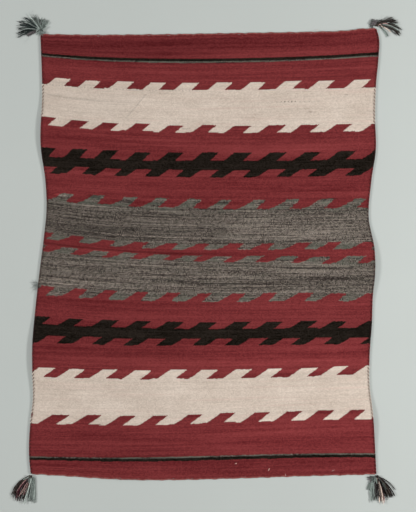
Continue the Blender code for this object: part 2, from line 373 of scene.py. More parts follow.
# The knot of each tassel. Columns: the way that it points, its place beside the corner, and its yarn.
KNOTS = {
    "top_left": (100, (0.003, 0.013), "slate"),
    "top_right": (80, (0.000, 0.010), "brown"),
    "bottom_left": (255, (0.000, -0.008), "brown"),
    "bottom_right": (275, (0.000, -0.007), "dark"),
}
ROOT_SPREAD = 0.0025
STRAND_TONES = (0.35, 1.7)
FIBRES_A_STRAND = 0.5
LENGTH_RANGE = (0.86, 1.06)
LAYER_LIFT = 0.0006
LYING_HEIGHT = YARN_RADIUS * 1.2

# Loose ends of yarn and a tuft of fluff.
# Columns: yarn, strands, place in millimetres from the photograph's middle, way, length, spread.
STRAY_ENDS = (
    ("cream", 1, (392, 806), 75, 0.010, 5),
    ("cream", 1, (221, -765), 250, 0.009, 5),
    ("pink", 1, (279, -784), 285, 0.011, 5),
    ("pink", 3, (450, -771), 300, 0.006, 120),
    ("cream", 1, (104, -746), 200, 0.007, 5),
)
STRAY_FLUFF = ("slate", 24, (-602, -102), 186, 0.042, 50)

FLOOR_COLOURS = ((0.481, 0.511, 0.489), (0.505, 0.537, 0.513))
FLOOR_SIZE = 9.0
CAMERA_LENS = 130
KEY_LIGHT = {"place": (4.5, -0.22, 2.18), "size": 0.8, "power": 225}
LEFT_LIGHT = {"place": (-12.0, 0.4, 5.85), "size": 2.6, "power": 1250}
FILL_LIGHT = {"place": (-0.6, 0.2, 4.0), "size": 3.0, "power": 26}
SKY = 0.230


def smooth_step(value, start, end):
    """0 before start, 1 after end, and a soft rise between them."""
    share = np.clip((value - start) / (end - start), 0, 1)
    return share * share * (3 - 2 * share)


def smooth_through(table, at):
    """Values at some places on a smooth curve through the table's rows of (place, value)."""
    places, values = np.array(table, dtype=float).T
    slopes = np.gradient(values, places)
    first = np.clip(np.searchsorted(places, at) - 1, 0, len(places) - 2)
    width = places[first + 1] - places[first]
    share = (at - places[first]) / width
    before, after = values[first], values[first + 1]
    rise_before, rise_after = slopes[first] * width, slopes[first + 1] * width
    return (
        before
        + rise_before * share
        + (3 * (after - before) - 2 * rise_before - rise_after) * share**2
        + (2 * (before - after) + rise_before + rise_after) * share**3
    )


def outline(edge, share, inset):
    """Places on the rug's outline, moved in from every edge, from the photograph's middle."""
    corners = []
    for name in EDGE_ENDS[edge]:
        sideways = 1 if "left" in name else -1
        upwards = 1 if "bottom" in name else -1
        corners.append(CORNERS[name] + inset * np.array((sideways, upwards)))
    share = np.asarray(share, dtype=float)
    swing = smooth_through(EDGE_SWINGS[edge], share) * MILLIMETRE
    if edge in ("bottom", "top"):
        for waves, height, phase in END_RIPPLES:
            swing = swing + height * MILLIMETRE * np.sin(2 * pi * waves * share + phase)
    straight = corners[0] + (corners[1] - corners[0]) * share[..., None]
    return straight + swing[..., None] * OUTWARDS[edge]


def photo_middle():
    """Where the middle of the photograph lies in the frame, from the cloth's own box."""
    shares = np.linspace(0, 1, 400)
    rim = np.concatenate([outline(edge, shares, CLOTH_INSET) for edge in EDGE_ENDS])
    low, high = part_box("cloth")
    middle_of_box = np.array((low.x + high.x, low.y + high.y)) / 2
    return middle_of_box - (rim.min(axis=0) + rim.max(axis=0)) / 2


MIDDLE = photo_middle()


def lift(across, along):
    """How far the underside stands off the floor at places on the rug."""
    width = np.linalg.norm(CORNERS["bottom_right"] - CORNERS["bottom_left"])
    length = np.linalg.norm(CORNERS["top_left"] - CORNERS["bottom_left"])
    inwards = {
        "left": across * width,
        "right": (1 - across) * width,
        "bottom": along * length,
        "top": (1 - along) * length,
    }
    height = 0.0
    for edge, share, half_length, rise in EDGE_LIFTS:
        upright = edge in ("left", "right")
        place = along * length if upright else across * width
        centre = share * (length if upright else width)
        nearness = 1 - smooth_step(abs(place - centre), 0, half_length)
        height = height + rise * nearness * (1 - smooth_step(inwards[edge], 0, LIFT_REACH))
    return height


class Loom:
    """Turns a warp number and a height on the loom into a place on the rug."""

    def __init__(self):
        ends = [outline(edge, STATIONS, CLOTH_INSET)[:, 1] for edge in ("bottom", "top")]
        inner = [np.array(row[1:]) * MILLIMETRE for row in COURSES]
        self.heights = np.array([ends[0], *inner, ends[1]])
        self.levels = self.heights.mean(axis=1) - self.heights[0].mean()
        self.length = self.levels[-1]
        self.course_levels = {row[0]: level for row, level in zip(COURSES, self.levels[1:])}

    def level_of(self, millimetres):
        """The level on the loom of a height above the photograph's middle, by and large."""
        return millimetres * MILLIMETRE - self.heights[0].mean()

    def weft_height(self, across, level):
        at_stations = [
            smooth_through(np.column_stack((self.levels, self.heights[:, number])), level)
            for number in range(len(STATIONS))
        ]
        height = 0.0
        for number, station in enumerate(STATIONS):
            others = [other for other in STATIONS if other != station]
            weight = np.prod([(across - other) / (station - other) for other in others], axis=0)
            height = height + weight * at_stations[number]
        return height

    def place(self, warp, level):
        """Plan position and floor lift of warps at levels, given as arrays of one shape."""
        across = warp / WARPS
        height = self.weft_height(across, level)
        for edge, end in (("bottom", 0.0), ("top", self.length)):
            swing = outline(edge, across, CLOTH_INSET)[..., 1] - self.weft_height(across, end)
            height = height + swing * (1 - smooth_step(abs(level - end), 0, END_SWING_REACH))
        sides = []
        shares = []
        for edge, side in (("left", 0.0), ("right", 1.0)):
            low, high = (outline(edge, share, CLOTH_INSET)[1] for share in (0.0, 1.0))
            share = np.clip((self.weft_height(side, level) - low) / (high - low), 0, 1)
            sides.append(outline(edge, share, CLOTH_INSET)[..., 0])
            shares.append(share)
        crowding = CROWDING_BELOW + (CROWDING_ABOVE - CROWDING_BELOW) * smooth_step(
            height, *CROWDING_CHANGE
        )
        spread = across - crowding * across * (1 - across)
        x = sides[0] + (sides[1] - sides[0]) * spread
        along = shares[0] + (shares[1] - shares[0]) * across
        return x + MIDDLE[0], height + MIDDLE[1], lift(across, along)


LOOM = Loom()


class Wire:
    """One socket of a node tree. A sum on wires adds its Math nodes to the tree."""

    def __init__(self, tree, socket=None):
        self.tree = tree
        self.socket = socket

    def node(self, kind, settings=None, values=None, output=0):
        """Adds a node with its settings and its sockets' values or wires, and gives one output."""
        made = self.tree.nodes.new(kind)
        for name, value in (settings or {}).items():
            setattr(made, name, value)
        for name, value in (values or {}).items():
            wires = value if isinstance(value, list) else [value]
            for wire in wires:
                if isinstance(wire, Wire):
                    self.tree.links.new(wire.socket, made.inputs[name])
                else:
                    made.inputs[name].default_value = wire
        return Wire(self.tree, made.outputs[output])

    def maths(self, operation, *others):
        values = dict(enumerate((self, *others)))
        return self.node("ShaderNodeMath", {"operation": operation}, values)

    def vector_maths(self, operation, *others):
        values = dict(enumerate((self, *others)))
        return self.node("ShaderNodeVectorMath", {"operation": operation}, values)

    def scaled(self, factor):
        return self.node("ShaderNodeVectorMath", {"operation": "SCALE"}, {0: self, "Scale": factor})

    def __add__(self, other):
        return self.maths("ADD", other)

    def __radd__(self, other):
        return self.maths("ADD", other)

    def __sub__(self, other):
        return self.maths("SUBTRACT", other)

    def __rsub__(self, other):
        return self.node("ShaderNodeMath", {"operation": "SUBTRACT"}, {0: other, 1: self})

    def __mul__(self, other):
        return self.maths("MULTIPLY", other)

    def __rmul__(self, other):
        return self.maths("MULTIPLY", other)

    def __truediv__(self, other):
        return self.maths("DIVIDE", other)

    def __mod__(self, other):
        return self.maths("FLOORED_MODULO", other)

    def __lt__(self, other):
        return self.maths("LESS_THAN", other)

    def __gt__(self, other):
        return self.maths("GREATER_THAN", other)

    def floor(self):
        return self.maths("FLOOR")

    def size(self):
        return self.maths("ABSOLUTE")

    def sine(self):
        return self.maths("SINE")

    def cosine(self):
        return self.maths("COSINE")

    def soft_step(self, start, end):
        """0 before start, 1 after end, and a soft rise between them."""
        values = {"Value": self, "From Min": start, "From Max": end}
        return self.node("ShaderNodeMapRange", {"interpolation_type": "SMOOTHSTEP"}, values)

    def parts(self):
        split = self.node("ShaderNodeSeparateXYZ", {}, {"Vector": self}).socket.node
        return [Wire(self.tree, socket) for socket in split.outputs]

    def chances(self, seed):
        """Three random numbers from 0 to 1 for each whole number."""
        values = {"Vector": together(self, seed, 0)}
        colour = self.node("ShaderNodeTexWhiteNoise", {"noise_dimensions": "2D"}, values, output="Color")
        split = self.node("ShaderNodeSeparateColor", {}, {"Color": colour}).socket.node
        return [Wire(self.tree, socket) for socket in split.outputs]


def together(x, y, z):
    """One vector of three numbers, of which some are wires."""
    wire = next(part for part in (x, y, z) if isinstance(part, Wire))
    return wire.node("ShaderNodeCombineXYZ", {}, {"X": x, "Y": y, "Z": z})


def mixed(factor, first, second, blend="MIX"):
    """A mix of two colours, each a wire or three numbers."""
    colours = [part if isinstance(part, Wire) else (*part, 1.0) for part in (first, second)]
    settings = {"data_type": "RGBA", "blend_type": blend}
    return factor.node("ShaderNodeMix", settings, {0: factor, 6: colours[0], 7: colours[1]}, output=2)


def toned(colour, tone):
    """A colour made lighter or darker by a number."""
    return colour.scaled(tone)


def soft_noise(place, detail, roughness=0.6):
    """Cloudy numbers from about 0.25 to 0.75."""
    values = {"Vector": place, "Scale": 1.0, "Detail": detail, "Roughness": roughness}
    return place.node("ShaderNodeTexNoise", {}, values)


def new_finish(name, roughness, sheen):
    material = bpy.data.materials.new(name)
    material.use_nodes = True
    shader = material.node_tree.nodes["Principled BSDF"]
    shader.inputs["Roughness"].default_value = roughness
    shader.inputs["Specular IOR Level"].default_value = 0.05
    shader.inputs["Sheen Weight"].default_value = sheen
    shader.inputs["Sheen Roughness"].default_value = 0.5
    return material, shader, Wire(material.node_tree)


def put(shader, socket, wire):
    shader.id_data.links.new(wire.socket, shader.inputs[socket])


def bumped(height, strength, distance):
    values = {"Strength": strength, "Distance": distance, "Height": height}
    return height.node("ShaderNodeBump", {}, values, output="Normal")


def wool_tones(rib, pick, bead_chance):
    """How light each wool is from streak to streak, from 0 to 1."""
    line = soft_noise(together(rib / 70, pick / 2.2, 3.0), 1)
    long_streak = soft_noise(together(rib / 150, pick / 9, 17.0), 3)
    short_streak = soft_noise(together(rib / 18, pick / 3.0, 11.0), 2)
    dye_lot = soft_noise(together(rib / 300, pick / 44, 23.0), 2)
    cloud = soft_noise(together(rib / 34, pick / 60, 31.0), 3)
    parts = [part - 0.5 for part in (line, long_streak, short_streak, dye_lot, cloud, bead_chance)]
    tones = {}
    for name, (middle, *weights) in TONE_WEIGHTS.items():
        tone = middle
        for part, weight in zip(parts, weights):
            tone = tone + part * weight
        tones[name] = tone.node("ShaderNodeClamp", {}, {"Value": tone})
    return tones


def dyed_wools(rib, woven, pick, bead_chance):
    """The colour of each wool at each bead."""
    colours = {
        name: mixed(tone, *WOOLS[name]) for name, tone in wool_tones(rib, pick, bead_chance).items()
    }
    from_centre = (woven - LOOM.level_of(GREYS_CENTRE)).size()
    near_rim = (from_centre - GREYS_APART * MILLIMETRE).size().soft_step(0.045, 0.078)
    greenish = soft_noise(together(rib / 26, pick / 16, 47.0), 2).soft_step(0.40, 0.60)
    colours["grey"] = mixed(greenish * (near_rim * 0.5 + 0.08), colours["grey"], GREY_TINT)
    blush = soft_noise(together(rib / 120, pick / 6, 53.0), 2).soft_step(0.52, 0.74)
    colours["white"] = mixed(blush * 0.35, colours["white"], WHITE_BLUSH)
    return colours


def above_serration(rib, woven, level, height, pitch, start, share, lean, ragged, shaking, seed):
    """1 above a serrated edge and 0 below it."""
    rise = (woven - level) / height
    sheared = (rib - start - rise * lean) / pitch + SPARE_TURN
    tooth = sheared.floor()
    shake = shaking * ragged
    place_chance, width_chance, height_chance = tooth.chances(seed)
    along = sheared - tooth - SPARE_TURN + (place_chance - 0.5) * TOOTH_PLACE_UNEVENNESS + shake
    width = share + (width_chance - 0.5) * TOOTH_WIDTH_UNEVENNESS
    foot = (rise - 0.5) * (rise - 0.5) * -ragged
    in_tooth = (along < width) * (along > foot)
    uneven_rise = rise + 0.5 + (height_chance - 0.5) * TOOTH_HEIGHT_UNEVENNESS + shake * 2
    return uneven_rise > in_tooth


def woven_colour(rib, woven, pick, bead_chance):
    """The bands, edge by edge from the bottom up, and the stripes."""
    wools = dyed_wools(rib, woven, pick, bead_chance)
    colour = wools["red"]
    shaking = soft_noise(together(rib / 5, pick / 7, 61.0), 2) - 0.5
    for number, (course, wool, height, pitch, start, share, lean, ragged) in enumerate(SERRATIONS):
        level = LOOM.course_levels[course]
        tall = height * MILLIMETRE
        shape = (tall, pitch, start, share, lean, ragged)
        above = above_serration(rib, woven, level, *shape, shaking, 5.0 + number)
        colour = mixed(above, colour, wools[wool])
    wander = (soft_noise(together(rib / 24, 0.0, 71.0), 2) - 0.5) * STRIPE_WANDER
    for course, wool, low, high in STRIPES:
        beside = woven - LOOM.course_levels[course] + wander
        in_stripe = (beside > low * MILLIMETRE) * (beside < high * MILLIMETRE)
        colour = mixed(in_stripe, colour, wools[wool])
    return colour


def join_tone(rib, woven):
    """The tone of faint slanting joins, with a slightly different lot of wool to the right."""
    whole = 1.0
    for foot, top, warp, lean, tone in SLANTING_JOINS:
        low, high = LOOM.level_of(foot), LOOM.level_of(top)
        beyond = rib - warp - (woven - low) * (lean / (high - low))
        in_band = (woven > low) * (woven < high)
        other_lot = in_band * (beyond > 0) * (1 - beyond.soft_step(0, JOIN_REACH))
        line = in_band * (beyond.size() < 0.8)
        whole = whole + other_lot * (tone - 1) - line * JOIN_DARKNESS
    return whole


def mark_and_painted_light_tone(rib, woven):
    """The tone of smudges, streaks and rows of dark specks, and of broad patches that are partly painted
    light, lighter on the right and darker on the left.
    """
    whole = 1.0
    for warp, height, half_width, half_height, tone in MARKS_AND_PAINTED_LIGHT:
        across = ((rib - warp) / half_width).size()
        along = ((woven - LOOM.level_of(height)) / (half_height * MILLIMETRE)).size()
        spot = (1 - across.soft_step(0.3, 1.0)) * (1 - along.soft_step(0.3, 1.0))
        whole = whole + spot * (tone - 1)
    for first, last, height, every, tone in SPECKS:
        in_row = ((woven - LOOM.level_of(height)).size() < BEAD_LENGTH * 0.7) * (rib > first) * (rib < last)
        whole = whole + in_row * ((rib % every) < 1) * (tone - 1)
    return whole


def cloth_finish():
    material, shader, start = new_finish("wool_cloth", 1.0, 0.0)
    loom = start.node("ShaderNodeAttribute", {"attribute_name": "loom"}, output="Vector")
    warp, level, _ = loom.parts()
    rib = warp.floor()
    odd = rib % 2
    bead = level / BEAD_LENGTH + odd * 0.5
    bead_row = bead.floor()
    woven = (bead_row + 0.5 - odd * 0.5) * BEAD_LENGTH
    pick = bead_row * 2 - odd
    bead_chance = start.node(
        "ShaderNodeTexWhiteNoise", {"noise_dimensions": "2D"}, {"Vector": together(rib, pick, 0.0)}
    )
    turned = (warp < 0) + (warp > WARPS)
    # The marks' tone includes broad patches of painted light, lighter on the right and darker on the left.
    tone = join_tone(rib, woven) * mark_and_painted_light_tone(rib, woven) + turned * (SIDE_TURN_TONE - 1)
    put(shader, "Base Color", toned(woven_colour(rib, woven, pick, bead_chance), tone))
    swell_along = ((bead - bead_row) * pi).sine()
    swell_across = ((warp - rib) * pi).sine()
    fibres = soft_noise(together(warp * 1.7, level * 3300, 5.0), 3)
    height = swell_along * (0.35 + swell_across * 0.65) + (fibres - 0.5) * 0.55
    put(shader, "Normal", bumped(height, 0.75, 0.0007))
    return material


def cord_finish(name, dark, light):
    """Plied yarn of the cords: slanting plies and uneven dye."""
    material, shader, start = new_finish(name, 1.0, 0.0)
    place = start.node("ShaderNodeTexCoord", output="Object")
    uneven = soft_noise(place.scaled(210.0), 3)
    put(shader, "Base Color", mixed(uneven.soft_step(0.34, 0.66), dark, light))
    along = start.node("ShaderNodeAttribute", {"attribute_name": "along"}, output="Fac")
    around = start.node("ShaderNodeAttribute", {"attribute_name": "around"}, output="Fac")
    plies = ((along / 0.0042 + around * 2) * (2 * pi)).sine()
    put(shader, "Normal", bumped(plies * 0.5 + soft_noise(place.scaled(1800.0), 2), 0.6, 0.0004))
    return material


def yarn_finish():
    """Loose yarn: its own colour, from strand to strand, with darker hollows along the twist."""
    material, shader, start = new_finish("yarn", 1.0, 0.05)
    own = start.node("ShaderNodeAttribute", {"attribute_name": "yarn"}, output="Color")
    place = start.node("ShaderNodeTexCoord", output="Object")
    uneven = soft_noise(place.scaled(160.0), 3)
    put(shader, "Base Color", toned(own, 0.55 + uneven * 0.9))
    along = start.node("ShaderNodeAttribute", {"attribute_name": "along"}, output="Fac")
    around = start.node("ShaderNodeAttribute", {"attribute_name": "around"}, output="Fac")
    fibres = ((along / 0.0030 + around * 3) * (2 * pi)).sine()
    put(shader, "Normal", bumped(fibres * 0.5 + soft_noise(place.scaled(2200.0), 2), 0.5, 0.0003))
    return material


def floor_finish():
    material, shader, start = new_finish("pale_floor", 0.85, 0.0)
    place = start.node("ShaderNodeTexCoord", output="Object")
    cloud = soft_noise(place.scaled(2.2), 3)
    put(shader, "Base Color", mixed(cloud, *FLOOR_COLOURS))
    return material


def new_tree(name, sizes):
    """A Geometry Nodes tree with its inputs, given as rows of (name, socket type)."""
    tree = bpy.data.node_groups.new(name, "GeometryNodeTree")
    for label, kind in (("Geometry", "NodeSocketGeometry"), *sizes):
        tree.interface.new_socket(label, in_out="INPUT", socket_type=kind)
    tree.interface.new_socket("Geometry", in_out="OUTPUT", socket_type="NodeSocketGeometry")
    group = tree.nodes.new("NodeGroupInput")
    return tree, {socket.name: Wire(tree, socket) for socket in group.outputs if socket.name}


def end_tree(tree, wire, material):
    """Ends a tree with plain, smooth, finished geometry."""
    smooth = wire.node("GeometryNodeSetShadeSmooth", {}, {0: wire})
    plain = wire.node("GeometryNodeRealizeInstances", {}, {0: smooth})
    finished = wire.node("GeometryNodeSetMaterial", {}, {"Geometry": plain, "Material": material})
    tree.links.new(finished.socket, tree.nodes.new("NodeGroupOutput").inputs[0])


def kept(wire, name, value, kind="FLOAT"):
    """The geometry with a value kept on its points under a name."""
    settings = {"data_type": kind, "domain": "POINT"}
    return wire.node(
        "GeometryNodeStoreNamedAttribute", settings, {"Geometry": wire, "Name": name, "Value": value}
    )


def tube(path, sides, radius, flatness, scale):
    """A closed tube along a path, with places along and around it kept for its finish."""
    ring = path.node("GeometryNodeCurvePrimitiveCircle", {}, {"Resolution": sides, "Radius": radius})
    sizes = path.node("ShaderNodeCombineXYZ", {}, {"X": 1.0, "Y": flatness, "Z": 1.0})
    oval = path.node("GeometryNodeTransform", {}, {"Geometry": ring, "Scale": sizes})
    around = path.node("GeometryNodeSplineParameter", output="Factor")
    along = path.node("GeometryNodeSplineParameter", output="Length")
    values = {
        "Curve": kept(path, "along", along),
        "Profile Curve": kept(oval, "around", around),
        "Scale": scale,
        "Fill Caps": True,
    }
    return path.node("GeometryNodeCurveToMesh", {}, values)


def wound_yarn_tree():
    """A yarn wound round each run of a guide, from the phase that is kept on its points."""
    tree, given = new_tree(
        "wound_yarn",
        (
            ("Turns", "NodeSocketInt"),
            ("Steps", "NodeSocketInt"),
            ("Yarn Radius", "NodeSocketFloat"),
            ("Swing", "NodeSocketFloat"),
            ("Side Swing", "NodeSocketFloat"),
            ("Material", "NodeSocketMaterial"),
        ),
    )
    path = given["Geometry"].node("GeometryNodeMeshToCurve", {}, {"Mesh": given["Geometry"]})
    count = given["Turns"] * given["Steps"] + 1
    path = path.node("GeometryNodeResampleCurve", {}, {"Curve": path, "Count": count})
    phase = path.node("GeometryNodeInputNamedAttribute", {"data_type": "FLOAT"}, {"Name": "phase"})
    share = path.node("GeometryNodeSplineParameter", output="Factor")
    angle = share * given["Turns"] * (2 * pi) + phase
    tangent = path.node("GeometryNodeInputTangent")
    sideways = tangent.vector_maths("CROSS_PRODUCT", (0.0, 0.0, 1.0)).vector_maths("NORMALIZE")
    out = sideways.scaled(angle.cosine() * given["Side Swing"])
    up = together(0.0, 0.0, angle.sine() * given["Swing"])
    offset = out.vector_maths("ADD", up)
    wound = path.node("GeometryNodeSetPosition", {}, {"Geometry": path, "Offset": offset})
    yarn = tube(wound, CORD_SIDES, given["Yarn Radius"], 1.0, 1.0)
    end_tree(tree, yarn, given["Material"])
    return tree


def yarn_tree():
    """Two-ply yarn along each run of a guide, as thick as its girth there."""
    tree, given = new_tree(
        "spun_yarn",
        (
            ("Step", "NodeSocketFloat"),
            ("Radius", "NodeSocketFloat"),
            ("Flatness", "NodeSocketFloat"),
            ("Turn", "NodeSocketFloat"),
            ("Material", "NodeSocketMaterial"),
        ),
    )
    path = given["Geometry"].node("GeometryNodeMeshToCurve", {}, {"Mesh": given["Geometry"]})
    path = path.node(
        "GeometryNodeResampleCurve", {"mode": "LENGTH"}, {"Curve": path, "Length": given["Step"]}
    )
    length = path.node("GeometryNodeSplineParameter", output="Length")
    path = path.node(
        "GeometryNodeSetCurveTilt", {}, {"Curve": path, "Tilt": length / given["Turn"] * (2 * pi)}
    )
    girth = path.node("GeometryNodeInputNamedAttribute", {"data_type": "FLOAT"}, {"Name": "girth"})
    yarn = tube(path, YARN_SIDES, given["Radius"], given["Flatness"], girth)
    end_tree(tree, yarn, given["Material"])
    return tree


def grown(name, guide, tree, values):
    """A piece with the plain mesh that a tree makes from a guide mesh."""
    holder = bpy.data.objects.new(f"{name}_guide", guide)
    bpy.context.scene.collection.objects.link(holder)
    modifier = holder.modifiers.new(tree.name, "NODES")
    modifier.node_group = tree
    for item in tree.interface.items_tree:
        if item.in_out == "INPUT" and item.name in values:
            modifier[item.identifier] = values[item.name]
    state = bpy.context.evaluated_depsgraph_get()
    mesh = bpy.data.meshes.new_from_object(
        holder.evaluated_get(state), preserve_all_data_layers=True, depsgraph=state
    )
    holder.modifiers.clear()
    bpy.data.objects.remove(holder, do_unlink=True)
    mesh.name = name
    return linked(name, mesh)


def linked(name, mesh):
    piece = bpy.data.objects.new(name, mesh)
    bpy.context.scene.collection.objects.link(piece)
    return piece


def worn(piece, slot, *nodes):
    """Puts a finished piece on the rug's body in place of its CAD nodes."""
    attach(piece, "root")
    if nodes:
        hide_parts(*nodes)
    return piece


def path_guide(name, points, phases, loom):
    """A guide mesh with a run of the same points for each phase, and their loom coordinates."""
    count = len(points)
    mesh = bpy.data.meshes.new(name)
    starts = range(0, count * len(phases), count)
    links = [(first + n, first + n + 1) for first in starts for n in range(count - 1)]
    mesh.from_pydata(np.tile(points, (len(phases), 1)).tolist(), links, [])
    mesh.attributes.new("phase", "FLOAT", "POINT").data.foreach_set("value", np.repeat(phases, count))
    kept_loom = mesh.attributes.new("loom", "FLOAT_VECTOR", "POINT")
    kept_loom.data.foreach_set("vector", np.tile(loom, (len(phases), 1)).astype(np.float32).ravel())
    return mesh


def cloth_rows():
    """Levels of the mesh's rows: even ones, and a few close ones that round the two ends."""
    even = np.linspace(0, LOOM.length, ROWS_ALONG)[1:-1]
    close = np.array(END_ROUNDING)
    return np.concatenate([close, even, (LOOM.length - close)[::-1]])


def make_cloth(finish):
    """The woven sheet: a rib for each warp on both faces, closed all round."""
    warps = np.arange(WARPS * SAMPLES_A_WARP + 1) / SAMPLES_A_WARP
    warp, level = np.meshgrid(warps, cloth_rows())
    x, y, floor_lift = LOOM.place(warp, level)
    rib = abs(np.sin(pi * warp)) ** 0.8
    from_side = np.minimum(warp, WARPS - warp)
    from_end = np.minimum(level, LOOM.length - level)
    roundness = 1.0
    for distance, reach in ((from_side, 0.5), (from_end, END_ROUNDING[-1])):
        inside = 1 - np.clip(distance / reach, 0, 1)
        roundness = roundness * np.maximum(np.sqrt(1 - inside**2), 0.3)
    way_out = np.where(level < LOOM.length / 2, -1, 1)
    y = y + way_out * SCALLOP * (rib - 0.5) * (from_end < END_ROUNDING[-1])
    half = (CLOTH_THICKNESS / 2 - RIB_RELIEF * (1 - rib)) * roundness
    middle = floor_lift + CLOTH_THICKNESS / 2
    rows, columns = warp.shape
    places, loom = [], []
    for side in (1, -1):
        places.append(np.stack((x, y, middle + side * half), axis=-1).reshape(-1, 3))
        loom.append(np.stack((warp, level, np.full_like(warp, side)), axis=-1).reshape(-1, 3))
    top = np.arange(rows * columns).reshape(rows, columns)
    under = top + rows * columns
    faces = [
        np.stack((top[:-1, :-1], top[:-1, 1:], top[1:, 1:], top[1:, :-1]), axis=-1),
        np.stack((under[:-1, :-1], under[1:, :-1], under[1:, 1:], under[:-1, 1:]), axis=-1),
        np.stack((top[:-1, 0], top[1:, 0], under[1:, 0], under[:-1, 0]), axis=-1),
        np.stack((top[1:, -1], top[:-1, -1], under[:-1, -1], under[1:, -1]), axis=-1),
        np.stack((under[0, :-1], under[0, 1:], top[0, 1:], top[0, :-1]), axis=-1),
        np.stack((top[-1, :-1], top[-1, 1:], under[-1, 1:], under[-1, :-1]), axis=-1),
    ]
    mesh = bpy.data.meshes.new("woven_cloth")
    faces = np.concatenate([part.reshape(-1, 4) for part in faces])
    mesh.from_pydata(np.concatenate(places).tolist(), [], faces.tolist())
    kept_loom = mesh.attributes.new("loom", "FLOAT_VECTOR", "POINT")
    kept_loom.data.foreach_set("vector", np.concatenate(loom).astype(np.float32).ravel())
    mesh.shade_smooth()
    mesh.materials.append(finish)
    return worn(linked("woven_cloth", mesh), "wool_cloth", "cloth")


def edge_path(edge):
    """The middle line of the cord along one edge of the rug, and its loom coordinates."""
    shares = np.linspace(0, 1, CORD_STATIONS)
    inset = CORDS[edge][2]
    plan = outline(edge, shares, inset) + MIDDLE
    far_side = 1.0 if edge in ("right", "top") else 0.0
    upright = edge in ("left", "right")
    rise = lift(far_side, shares) if upright else lift(shares, far_side)
    points = np.column_stack((plan, rise + CORD_SWING + WEFT_YARN))
    if not upright:
        points[0, 0] += CORD_DIAMETER / 2 + CORD_END_GAP
        points[-1, 0] -= CORD_DIAMETER / 2 + CORD_END_GAP
    levels = np.linspace(0, LOOM.length, 600)
    level = np.interp(points[:, 1], LOOM.weft_height(far_side, levels) + MIDDLE[1], levels)
    warp = np.full_like(level, WARPS + 0.5 if edge == "right" else -0.5)
    return points, np.column_stack((warp, level, np.zeros_like(level)))


def wind_yarn(name, edge, phases, radius, tree, finish):
    """Yarns wound along an edge, one for each phase."""
    points, loom = edge_path(edge)
    length = np.linalg.norm(np.diff(points, axis=0), axis=1).sum()
    values = {
        "Turns": int(round(length / CORD_TURN)),
        "Steps": STEPS_A_TURN,
        "Yarn Radius": radius,
        "Swing": CORD_SWING,
        "Side Swing": CORDS[edge][1],
        "Material": finish,
    }
    return grown(name, path_guide(name, points, phases, loom), tree, values)


def make_edge_cord(edge, phases, tree, finish):
    cord = wind_yarn(f"twined_cord_{edge}", edge, phases, CORDS[edge][0], tree, finish)
    return worn(cord, "cord_wool", f"edge_cord_{edge}")


def make_side_weft(edge, tree, finish):
    """The weft that is twined with a side cord, in the bands' own wools."""
    return worn(wind_yarn(f"side_weft_{edge}", edge, (pi,), WEFT_YARN, tree, finish), "wool_cloth")


class Yarns:
    """Runs of yarn, gathered into one guide mesh with each run's colour and girth."""

    def __init__(self, seed):
        self.uneven = random.Random(seed)
        self.points, self.links, self.colours, self.girths = [], [], [], []

    def run(self, yarn, start, leaving, ending, length, wave, girth, height, rest):
        """One strand from a start in plan, turning from one way to another, down to its rest height."""
        uneven = self.uneven
        tone = uneven.uniform(*STRAND_TONES)
        colour = [min(part * tone, 1.0) for part in YARNS[yarn]] + [1.0]
        waves = [(uneven.uniform(0.018, 0.034), uneven.uniform(0, 2 * pi)) for _ in range(2)]
        place = np.array(start, dtype=float)
        step = length / (RUN_POINTS - 1)
        first = len(self.points)
        for number in range(RUN_POINTS):
            distance = number * step
            share = distance / length
            way = leaving + (ending - leaving) * smooth_step(share, 0, 1)
            way += wave * share * sum(sin(distance / reach * 2 * pi + phase) for reach, phase in waves)
            above = height + (rest - height) * smooth_step(distance, 0, DROP_RUN)
            self.points.append((place[0], place[1], above))
            self.colours.extend(colour)
            self.girths.append(girth * (1 - 0.45 * smooth_step(share, 0.9, 1)))
            place += step * np.array((cos(radians(way)), sin(radians(way))))
        self.links.extend((first + n, first + n + 1) for n in range(RUN_POINTS - 1))

    def guide(self, name):
        mesh = bpy.data.meshes.new(name)
        mesh.from_pydata(self.points, self.links, [])
        mesh.attributes.new("yarn", "FLOAT_COLOR", "POINT").data.foreach_set("color", self.colours)
        mesh.attributes.new("girth", "FLOAT", "POINT").data.foreach_set("value", self.girths)
        return mesh


def yarn_values(finish):
    return {
        "Step": YARN_STEP,
        "Radius": YARN_RADIUS,
        "Flatness": YARN_FLATNESS,
        "Turn": YARN_TURN,
        "Material": finish,
    }


def wrap_knot(yarns, yarn, middle, way, uneven):
    """A few turns of yarn round the root of a tassel."""
    pointing = np.array((cos(way), sin(way)))
    across = np.array((-sin(way), cos(way)))
    for turn in range(3):
        first = len(yarns.points)
        centre = middle + pointing * (turn - 1) * 0.0030
        tone = uneven.uniform(0.8, 1.2)
        for number in range(17):
            angle = 2 * pi * number / 16
            side = across * 0.0056 * cos(angle) + pointing * 0.0012 * sin(2 * angle + turn)
            place = centre + side
            yarns.points.append((place[0], place[1], 0.0052 + 0.0032 * sin(angle)))
            yarns.colours.extend([part * tone for part in YARNS[yarn]] + [1.0])
            yarns.girths.append(1.25)
        yarns.links.extend((first + n, first + n + 1) for n in range(16))


